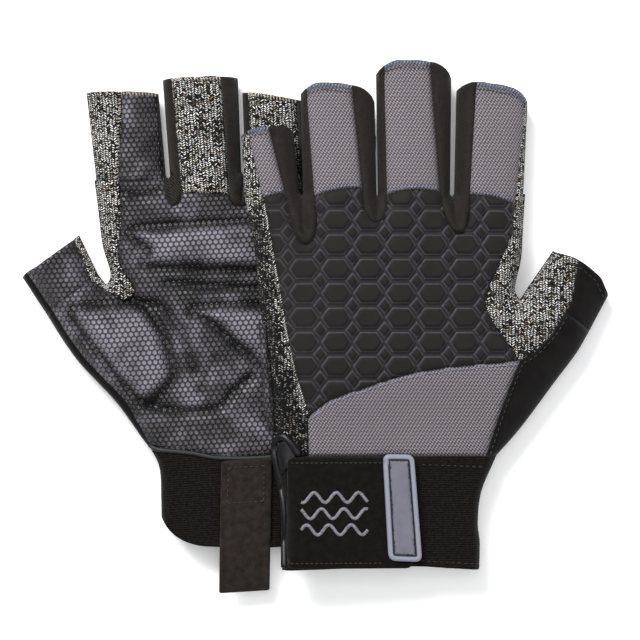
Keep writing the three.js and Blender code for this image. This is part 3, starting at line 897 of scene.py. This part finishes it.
def pads_and_folds(flat, side):
    """The palm's foam pads, and the folds where it creases."""
    lift = 1.1 * noisy(flat, 24, 5.0) + 0.35 * noisy(flat, 9, 2.5)
    for loop in PADS.values():
        closed = spline([*loop, loop[0]], 1.5)
        depth = np.where(inside(flat, closed[:-1]), distance(flat, closed), 0.0)
        lift += 3.4 * smooth(0, 5.5, depth) - 1.9 * hump(distance(flat, closed), 1.4)
    for line, deep in FOLDS:
        lift -= 1.9 * deep * hump(distance(flat, spline(line)), 1.7)
    # the mark, the lift scaled, is painted light on the pads and painted shade in the folds
    return lift, np.clip(lift / 3.0, -1, 1)


def darker(flat, side):
    """A knit with no relief, darker away from the gusset seam, towards the glove's edge."""
    return np.zeros(len(flat)), -smooth(1.2, 2.6, distance(flat, spline(GUSSET_SEAM)))


def roll_between(folds):
    """Two soft rolls of fabric that meet in a fold below the gap between two fingers."""
    def relief(flat, side):
        top, foot = folds[side]
        away = distance(flat, np.array([top, foot + 0.3 * (top - foot)]))
        # the mark is painted shade along the fold
        return 0.5 - 2.6 * hump(away, 1.4), -hump(away, 1.1)
    return relief


def ribs(flat, side):
    """Elastic ribs across the wrist, a little wavy, all the way up the cuff."""
    pitch, height = 1.5, 0.05
    y = flat[:, 1] + 0.6 * noisy(flat, 9, 2.0)
    return height * np.sin(2 * math.pi * y / pitch), np.zeros(len(flat))


# ------------------------------------------------------------------ the sewn panels
def seam(points, part=None):
    return spline(points, part=part), SEAM


def cut(points, part=None):
    return spline(points, part=part), CUT


def join(*points):
    return spline(points), JOIN


def back(edge):
    """The same edge, the other way along."""
    return edge[0][::-1], edge[1]


def root_edge(view, finger):
    """Where a finger's panel meets the hand: a seam, or one cut of leather on the index finger's palm."""
    root = ROOT_SEAMS[view][finger]
    return join(*root) if (view, finger) == (PALM, "index") else seam(root)


def top_edges(view):
    """A hand panel's upper edge: the fingers' roots, with the ends of the strips between them."""
    edges = [root_edge(view, NAMES[0])]
    for finger, tongue in zip(NAMES[1:], TONGUES[view]):
        edges += [seam(tongue), root_edge(view, finger)]
    return edges


def make_hand(glove):
    edge, plan = glove.edge, glove.plan
    outer, head, turn, foot = plan["thumb_side"][0], plan["head"], plan["suede_turn"], plan["foot"]
    glove.panel("back_panel", "back_laminate", [
        (BACK, [seam(GUSSET_SEAM), *top_edges(BACK), seam(SADDLE_SEAM), back(seam(WRIST_SEAM))])],
        relief=hexagons, step=0.8)
    glove.panel("wrist_panel", "grey_weave", [
        (BACK, [seam(GUSSET_FOOT), seam(WRIST_SEAM), seam(SUEDE_SEAM),
                seam([SUEDE_SEAM[-1], GUSSET_FOOT[0]])])])
    glove.panel("ulnar_gusset", "cut_knit", [
        (BACK, [seam(GUSSET_FOOT), seam(GUSSET_SEAM), join(GUSSET_SEAM[-1], ULNAR_SIDE[-1]),
                back(edge("ulnar")), seam([ULNAR_SIDE[0], GUSSET_FOOT[0]])]),
        (PALM, [edge("ulnar"), join(ULNAR_SIDE[-1], KNIT_TURN[-1]), back(seam(KNIT_TURN)),
                seam(head, (7, 8))])], relief=darker)
    glove.panel("saddle", "cut_knit", [
        (BACK, [back(seam(SADDLE_SEAM)), join(SADDLE_SEAM[0], RADIAL_SIDE[0]), edge("radial"),
                join(THUMB_INNER, SADDLE_OUTER[-1]), back(seam(SADDLE_OUTER))]),
        (PALM, [edge("radial"), join(THUMB_INNER, PALM_KNIT[-1]), back(seam(PALM_KNIT)),
                join(PALM_KNIT[0], RADIAL_SIDE[0])])])
    glove.panel("thumb_base", "suede", [
        (BACK, [seam(SADDLE_OUTER), join(SADDLE_OUTER[-1], outer), edge("thumb_side"),
                seam([head[0], SUEDE_SEAM[-1]]), back(seam(SUEDE_SEAM))]),
        (PALM, [edge("thumb_side"), seam(head, (0, 1)), back(seam(turn)), join(turn[0], outer)])])
    glove.panel("palm_panel", "grip_leather", [
        (PALM, [seam(KNIT_TURN), *top_edges(PALM), seam(PALM_KNIT), join(PALM_KNIT[-1], turn[0]), seam(turn),
                seam(head, (1, 7))])], relief=pads_and_folds, step=1.2)
    glove.panel("cuff_band", "elastic", [
        (BACK, [seam([CUFF_ULNAR[0], head[0]]), back(edge("cuff_radial")), back(cut(foot)),
                back(edge("cuff_ulnar"))]),
        (PALM, [edge("cuff_ulnar"), cut(foot), edge("cuff_radial"), seam(head)])],
        relief=ribs, step=0.9, hem=2.0)


def make_thumb(glove):
    edge, plan = glove.edge, glove.plan
    mouth, middle, knit = plan["thumb_tip"], plan["thumb_seam"], plan["thumb_knit"]
    outer, turn = plan["thumb_side"][0], plan["suede_turn"][0]
    fold = [turn, mouth[1]]
    moving = {"bend": "thumb", "hem": 2.2}
    glove.panel("thumb_back", "suede", [
        (BACK, [join(middle[0], outer), edge("thumb_outer"), cut(mouth, (0, 3)), back(seam(middle))]),
        (PALM, [edge("thumb_outer"), cut(mouth, (0, 1)), back(seam(fold)), join(turn, outer)])], **moving)
    glove.panel("thumb_gusset", "cut_knit", [
        (BACK, [join(THUMB_INNER, middle[0]), seam(middle), cut(mouth, (3, 5)), back(edge("thumb_inner"))]),
        (PALM, [join(THUMB_INNER, PALM_KNIT[-1]), seam(knit), cut(mouth, (4, 5)),
                back(edge("thumb_inner"))])], **moving)
    glove.panel("thumb_palm", "grip_leather", [
        (PALM, [join(PALM_KNIT[-1], turn), seam(fold), cut(mouth, (1, 4)), back(seam(knit))])], **moving)


def make_fingers(glove):
    """Each finger's panels. A hand of 0 is a panel's left, and 1 its right."""
    edge, fingers, moved = glove.edge, glove.fingers, glove.moved

    def rising(view, finger, hand):
        root = ROOT_SEAMS[view][finger][-hand]
        return glove.finger_line(finger, root, fingers[finger][view][hand][1]), SEAM

    def mouth(view, finger, hand):
        """The tip's edge from the seam out to the glove's outline."""
        return glove.tip_edge(finger, fingers[finger][view][hand][1], fingers[finger]["tip"][hand]), CUT

    for finger in NAMES:
        for view in (BACK, PALM):
            leather = (view, finger) == (PALM, "index")
            slot = "grey_weave" if view == BACK else "grip_leather" if leather else "cut_knit"
            (_, x0), (_, x1) = fingers[finger][view]
            glove.panel(f"{finger}_{view}", slot, [
                (view, [rising(view, finger, 0), (glove.tip_edge(finger, x0, x1), CUT),
                        back(rising(view, finger, 1)), back(root_edge(view, finger))])],
                hem=1.7, **moved(finger))
    for i, (a, b) in enumerate(zip(NAMES, NAMES[1:])):
        left_half, right_half, folds = [], [], {}
        for view in (BACK, PALM):
            tongue, floor = TONGUES[view][i], glove.sides[f"floor{i}_left"][-1]
            split = join(floor, tongue[3])
            folds[view] = np.array([floor, tongue[3]])
            left_half.append((view, [
                back(rising(view, a, 1)), seam(tongue, (0, 3)), back(split), back(edge(f"floor{i}_left")),
                edge(f"{a}_right"), back(mouth(view, a, 1))]))
            right_half.append((view, [
                rising(view, b, 0), mouth(view, b, 0), back(edge(f"{b}_left")), back(edge(f"floor{i}_right")),
                split, seam(tongue, (3, 6))]))
        look = {"relief": roll_between(folds), "step": 1.2, "puff": 1.3, "hem": 2.6}
        if moved(a) == moved(b):
            glove.panel(f"{a}_{b}_fourchette", "spandex", left_half + right_half, **look, **moved(a))
        else:
            for finger, half in ((a, left_half), (b, right_half)):
                glove.panel(f"{finger}_fourchette", "spandex", half, **look, **moved(finger))
    for finger, hand, floor, end in (("index", 1, [], RADIAL_SIDE[0]),
                                    ("little", 0, ["ulnar_root"], ULNAR_SIDE[-1])):
        outline = f"{finger}_{'right' if hand else 'left'}"
        glove.panel(f"{finger}_side", "cut_knit", [
            (view, [rising(view, finger, hand), mouth(view, finger, hand),
                    *(back(edge(name)) for name in (outline, *floor)),
                    join(end, ROOT_SEAMS[view][finger][-hand])])
            for view in (BACK, PALM)], hem=2.6, **moved(finger))


# ------------------------------------------------------------------ flat parts: strap, tabs, patches, pads
def rounded(corners, radius, step=STEP):
    """A closed loop through straight sides and rounded corners."""
    corners = [np.array(c, float) for c in corners]
    loop = []
    for before, at, after in zip(corners[-1:] + corners[:-1], corners, corners[1:] + corners[:1]):
        start = at + radius * (before - at) / np.linalg.norm(before - at)
        end = at + radius * (after - at) / np.linalg.norm(after - at)
        t = np.linspace(0, 1, 6)[:, None]
        loop.append((1 - t) ** 2 * start + 2 * t * (1 - t) * at + t * t * end)
    joined = []
    for arc, following in zip(loop, loop[1:] + loop[:1]):
        straight = spline([arc[-1], following[0]], step)
        joined += [arc[:-1], straight[:-1]]
    joined = np.vstack(joined)
    return np.vstack([joined, joined[:1]])


def box(x0, y0, x1, y1):
    return [(x0, y0), (x1, y0), (x1, y1), (x0, y1)]


def plate(glove, name, loop, slot, height, thick, way=1, relief=None, step=STEP, edge=0.9, rows=SIDE_ROWS,
          colour=None):
    """A flat part with rounded edges. Height gives its inner face; way is 1 on the back, -1 on the palm."""
    flat, faces, closed = cut_panel([(loop, SIDE)], step, rows)
    depth = distance(flat, closed)
    swell = crown(depth / edge)
    lift, mark = relief(flat, depth) if relief else (0.0, np.zeros(len(flat)))
    middle = height(flat) + way * thick / 2
    outer = middle + way * (thick / 2 + lift) * swell
    inner = middle - way * thick / 2 * swell
    upper, lower = (outer, inner) if way > 0 else (inner, outer)
    points = np.vstack([np.column_stack([flat, upper]), np.column_stack([flat, lower])])
    count = len(flat)
    both = faces + [[i + count for i in face[::-1]] for face in faces]
    plan = np.column_stack([np.vstack([flat, flat]), np.repeat([0.0, 9.0], count)])
    return glove.solid(name, points, both, slot, plan, np.concatenate([mark, mark]), colour=colour)


def make_pads(glove):
    under, thick = CLOTH + 1.3, 1.2
    for name, outline in PADS.items():
        centre = np.mean(outline, axis=0)
        loop = spline([*outline, outline[0]], 2.0)
        loop = centre + 0.93 * (loop - centre)
        flat, faces, closed = cut_panel([(loop, CUT)], 2.0)
        swell = crown(distance(flat, closed) / 4)
        lift, _ = pads_and_folds(flat, PALM)
        top = glove.surface(flat, PALM, lift - under + swell)
        low = glove.surface(flat, PALM, lift - under - thick * swell)
        both = [face[::-1] for face in faces] + [[i + len(flat) for i in face] for face in faces]
        plan = np.column_stack([np.vstack([flat, flat]), np.zeros(2 * len(flat))])
        pad = glove.solid(name, np.vstack([top, low]), both, "foam", plan, np.zeros(2 * len(flat)))
        glove.finish(pad, name, "foam")


def make_strap(glove):
    bend = None if glove.pinned else "strap"
    (x0, y0), (x1, y1) = STRAP["from"], STRAP["to"]
    patch, skin, seam_in = 0.25, 0.1, 2.2
    low = 3 * skin + 2 * patch
    face = low + STRAP["thick"]
    top = face + 0.15

    def over(lift):
        return lambda flat: glove.surface(flat, BACK, 0.0)[:, 2] + lift

    def line_up(points, lift):
        return np.column_stack([points, over(lift)(points)])

    def quilted(flat, depth):
        """Grooves under the two long rows of stitches, and slight waves in the fabric."""
        rows = np.minimum(np.abs(flat[:, 1] - y0 - seam_in), np.abs(y1 - seam_in - flat[:, 1]))
        return 0.25 * noisy(flat, 9, 4.0) - 0.35 * hump(rows, 0.6), np.zeros(len(flat))

    def moulded(flat, depth):
        """A raised rim round a recessed middle."""
        rim = smooth(2.3, 1.9, depth)
        groove = hump(depth - 2.3, 0.3)
        # the mark is a painted highlight on the rim and painted shade in the groove
        return 0.3 * rim - 0.15 - 0.5 * groove, rim - 1.6 * groove

    loops = plate(glove, "loop_patch", rounded(box(-31, 5, 8, 42), 2), "spandex", over(skin), patch, edge=0.3)
    glove.finish(loops, None, "spandex")
    hooks = plate(glove, "hook_patch", rounded(box(-14, 5, 7, 42), 2), "spandex", over(2 * skin + patch),
                  patch, edge=0.3)
    glove.finish(hooks, None, "spandex", bend=bend)
    strap = plate(glove, "strap", rounded(box(x0, y0, x1, y1), 2.5), "neoprene", over(low), STRAP["thick"],
                  relief=quilted, step=1.2)
    glove.finish(strap, "strap", "neoprene", bend=bend)
    end = plate(glove, "strap_end", rounded([(-3.2, 47), (9.6, 46.8), (13, 3.4), (-0.8, 4)], 3.2), "rubber",
                over(top), STRAP["end_thick"], relief=moulded, step=0.8, edge=0.8,
                rows=(0.15, 0.4, 0.9, 1.5, 1.9, 2.1, 2.3, 2.5, 2.8))
    glove.finish(end, "strap_end", "rubber", bend=bend)
    for i, y in enumerate((y0 + seam_in, y1 - seam_in)):
        at = line_up(spline([(x0 + 2, y), (-4, y)], 2.0), face - 0.2)
        glove.trim(f"strap_stitches_{i}", beads(at, 0.75, 0.3), "neoprene", "thread_dark", bend)
    at = line_up(spline([(9.6, 6.2), (1.2, 6.5), (0.6, 25),
                (-0.6, 44.4)], 1.9), top + STRAP["end_thick"] - 0.45)
    glove.trim("strap_end_stitches", beads(at, 0.62, 0.3), "rubber", "thread_dark", bend)
    wave_length, wave_height = 9.0, 2.0
    for i, y in enumerate((16.5, 23.0, 29.5)):
        xs = np.linspace(-36, -9, 70)
        wave = np.column_stack([xs, y + wave_height * np.sin((xs + 3 * i) * 2 * math.pi / wave_length)])
        mesh = pipe(line_up(wave, face + 0.02), 0.3, spokes=8, flat=2.3)
        glove.trim(f"strap_wave_{i}", mesh, "neoprene", "thread_grey", bend)


def make_tab(glove):
    """The pull tab: its sewn part on the cuff's palm side, and its free part past the hem or folded back."""
    half, hinge, centre, thick = TAB["width"] / 2, TAB["hinge"], TAB["centre"], TAB["thick"]
    corner, inset = 1.2, 3.0

    def strip(length, slip):
        y0, y1 = hinge, hinge + length
        return [(centre - half, y0), (centre + half, y0), (centre + half + slip, y1),
                (centre - half + slip, y1)]

    def under(layers):
        def height(flat):
            seen = np.column_stack([flat[:, 0], np.maximum(flat[:, 1], 3.0)])
            droop = 5.0 * np.clip((2.0 - flat[:, 1]) / 21, 0, 1) ** 1.6
            return glove.surface(seen, PALM, 0.0)[:, 2] - SKIN_GAP - layers * (thick + SKIN_GAP) + droop
        return height

    def soft(flat, depth):
        return 0.2 * noisy(flat, 8, 6.0) - 0.25 * hump(depth - inset, 0.6), np.zeros(len(flat))

    def cloth(name, corners, layers):
        return plate(glove, name, rounded(corners, corner), "tab_cloth", under(layers), thick, -1, soft, 1.2)

    sewn = strip(TAB["sewn"], -TAB["lean"] * TAB["sewn"])
    if glove.folded:
        base = cloth("tab_base", sewn, 0)
        glove.finish(base, "tab_base", "neoprene")
        free = cloth("pull_tab", strip(TAB["free"], TAB["lean"] * TAB["free"]), 1)
        glove.finish(free, "pull_tab", "neoprene", "tab")
    else:
        free = strip(-TAB["free"], TAB["lean"] * TAB["free"])
        whole = cloth("pull_tab", [free[3], free[2], sewn[2], sewn[3]], 0)
        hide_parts(f"{glove.prefix}_tab_base")
        glove.finish(whole, "pull_tab", "neoprene", bend="tab")
    lean = -TAB["lean"] * (TAB["sewn"] - inset)
    low, high = hinge + inset - 1, hinge + TAB["sewn"] - inset
    left, right = centre - half + inset, centre + half - inset
    loop = rounded([(left, low), (right, low), (right + lean, high), (left + lean, high)], 0.8, 2.2)
    box_line = np.column_stack([loop, under(0)(loop) - thick + 0.02])
    glove.trim("tab_stitches", beads(box_line, 0.8, 0.3), "neoprene", "thread_dark")


# ------------------------------------------------------------------ seams, bindings and stitches
def beside(points, by):
    return offset(spline(points), by)


def make_trim(glove):
    def tube(name, side, points, radius, colour, slot, lift=0.0, flat=1.0, bend=None):
        line = points if isinstance(points, np.ndarray) else spline(points, 1.2)
        points, faces = pipe(glove.surface(line, side, lift), radius, flat=flat)
        ring = len(points) // len(line)
        wrap = np.column_stack([np.tile(np.arange(ring) * 2 * math.pi * radius / ring, len(line)),
                                np.repeat(lengths(line), ring), np.zeros(len(points))])
        glove.trim(name, (points, faces), slot, colour, bend, plan=wrap, depth=np.zeros(len(points)))

    head, tips, stitch = glove.plan["head"], glove.plan["thumb_tip"], glove.stitches
    tube("slit_binding", BACK, SLIT_BINDING, 1.15, "binding", "spandex", lift=0.9, flat=1.35)
    slit = plate(glove, "slit_lining", spline(SLIT_LINING, 1.2), "spandex",
                 lambda flat: glove.surface(flat, BACK, 0.05)[:, 2], 0.5, edge=0.4, colour="binding")
    glove.finish(slit, None, "spandex")
    tube("palm_hem", PALM, spline(head, part=(1, 7)), 0.6, "hem_leather", "grip_leather", lift=-0.1, flat=1.5)
    tube("gusset_edge", BACK, GUSSET_SEAM, 0.7, "cut_knit", "cut_knit", lift=-0.5)
    tube("palm_edge", BACK, PALM_EDGE, 1.5, "grip_leather", "grip_leather")
    tube("saddle_edge", BACK, RADIAL_SIDE, 0.75, "cut_knit", "cut_knit")
    tube("thumb_edge", BACK, [THUMB_INNER, tips[-1]], 0.75, "cut_knit", "cut_knit", bend="thumb")

    stitch("wrist_stitches", BACK, beside(WRIST_SEAM, -1.3)[1:-1], "grey_weave", colour="thread_pale")
    for name, seam_line, by, slot in (
            ("wrist_stitches_upper", WRIST_SEAM, 1.5, "back_laminate"),
            ("saddle_stitches", SADDLE_SEAM, -1.4, "cut_knit"),
            ("suede_stitches", SUEDE_SEAM, 1.4, "suede"),
            ("thumb_saddle_stitches", SADDLE_OUTER, -1.4, "suede")):
        stitch(name, BACK, beside(seam_line, by)[1:-1], slot)
    stitch("cuff_stitches", BACK, [(14, 42.5), (37, 41.5)], "elastic")
    if glove.folded:
        stitch("cuff_stitches_lower", BACK, [(13.5, 3.6), (36, 2.2)], "elastic")
    stitch("palm_hem_stitches", PALM, beside(head[1:8], -1.9)[1:-1], "grip_leather", lift=0.3)
    stitch("palm_knit_stitches", PALM, beside(PALM_KNIT, -1.3)[2:-2], "grip_leather", lift=0.2)
    stitch("pad_stitches", PALM, spline([(-48, 132.5), (-12, 131.5), (20, 131), (37, 130)]), "grip_leather",
           lift=-0.3)

    mouth_rows = {"pitch": 1.25, "size": 0.34, "across": 0.8, "lift": 0.6}
    root_rows = {"size": 0.3, "across": 0.6, "lift": 0.2}
    for finger in NAMES:
        moving = glove.moved(finger)
        for view, slot, colour in ((BACK, "grey_weave", "thread_pale"), (PALM, "cut_knit", "thread_tan")):
            (_, x0), (_, x1) = glove.fingers[finger][view]
            stitch(f"{finger}_{view}_mouth_stitches", view, glove.mouth_line(finger, x0, x1, 0.4, 0.9), slot,
                   colour=colour, **mouth_rows, **moving)
            if view == BACK:
                stitch(f"{finger}_hem_stitches", view, glove.mouth_line(finger, x0, x1, 1, 3.0), slot,
                       lift=0.3, pitch=1.8, size=0.22, **moving)
        if finger != "index":
            stitch(f"{finger}_palm_root_stitches", PALM, beside(ROOT_SEAMS[PALM][finger], 1.0)[1:-1],
                   "cut_knit", colour="thread_tan", pitch=1.5, **root_rows)
        stitch(f"{finger}_root_stitches", BACK, beside(ROOT_SEAMS[BACK][finger], 1.0)[1:-1], "grey_weave",
               colour="thread_pale", pitch=1.35, **root_rows)
    x = glove.fingers["index"][PALM][1][1]
    line = offset(glove.finger_line("index", ROOT_SEAMS[PALM]["index"][-1], x), -1.0)
    stitch("index_side_stitches", PALM, line[line[:, 1] < float(glove.tip_y("index", x)) - 2], "cut_knit",
           bend="fingers", colour="thread_tan", pitch=1.5, **root_rows)
    stitch("thumb_hem_stitches", BACK, offset(spline(tips, part=(0, 5)), 2.4)[1:-1], "suede", bend="thumb",
           lift=0.3)


# ------------------------------------------------------------------ the two gloves
def turned(*turns):
    turn = Matrix.Identity(3)
    for axis, degrees in turns:
        turn = turn @ Matrix.Rotation(math.radians(degrees), 3, axis)
    return turn


lower = Glove("lower", turned(("Z", 3.46), ("Y", 180)), 7.4, FINGERS, LOWER_TIPS, LOWER_PLAN,
              pinned=("little", "ring"), folded=False)
upper = Glove("upper", turned(("Y", 5.6)), 0.0, CLOSED_UP, UPPER_TIPS, UPPER_PLAN, pinned=(), folded=True)
for glove in (lower, upper):
    for make_part in (make_hand, make_thumb, make_fingers, make_pads, make_strap, make_tab, make_trim):
        make_part(glove)


# ------------------------------------------------------------------ floor, light and camera
LIGHTS = {"key": ((-0.5, 0.85, 1.05), 0.6, 26), "fill": ((0.9, -0.5, 1.2), 1.2, 6),
          "top": ((0.0, 0.25, 1.8), 0.8, 9)}
ROOM_COLOUR, ROOM_LIGHT = (0.97, 0.98, 1.0, 1), 0.36


def make_stage():
    bpy.ops.mesh.primitive_plane_add(size=6)
    floor = bpy.context.object
    floor.name = "floor"
    n = Nodes("floor")
    here = n.make("ShaderNodeTexCoord", out="Object")
    grain = n.make("ShaderNodeTexNoise", {"Vector": here, "Scale": 3.0, "Detail": 2}, "Fac")
    tone = n.ramp(grain, (0.3, (0.95, 0.95, 0.96)), (0.7, (0.98, 0.98, 0.98)))
    floor.data.materials.append(
        n.set(Base_Color=tone, Roughness=0.9, Emission_Color=(1, 1, 1, 1), Emission_Strength=0.16))
    world = bpy.data.worlds.new("room")
    bpy.context.scene.world = world
    world.use_nodes = True
    background = world.node_tree.nodes["Background"].inputs
    background[0].default_value, background[1].default_value = ROOM_COLOUR, ROOM_LIGHT
    for name, (at, size, power) in LIGHTS.items():
        data = bpy.data.lights.new(name, "AREA")
        data.size, data.energy = size, power
        light = bpy.data.objects.new(name, data)
        bpy.context.scene.collection.objects.link(light)
        light.location = at
        light.rotation_euler = (-Vector(at)).to_track_quat("-Z", "Y").to_euler()


def make_camera():
    lens, sensor, wide = 200, 36, 0.2594
    data = bpy.data.cameras.new("camera")
    data.lens, data.sensor_width = lens, sensor
    camera = bpy.data.objects.new("camera", data)
    bpy.context.scene.collection.objects.link(camera)
    camera.location = (0.0026, 0.003, 0.013 + wide * lens / sensor)
    bpy.context.scene.camera = camera


make_stage()
make_camera()
bpy.context.scene.view_settings.view_transform = "Standard"
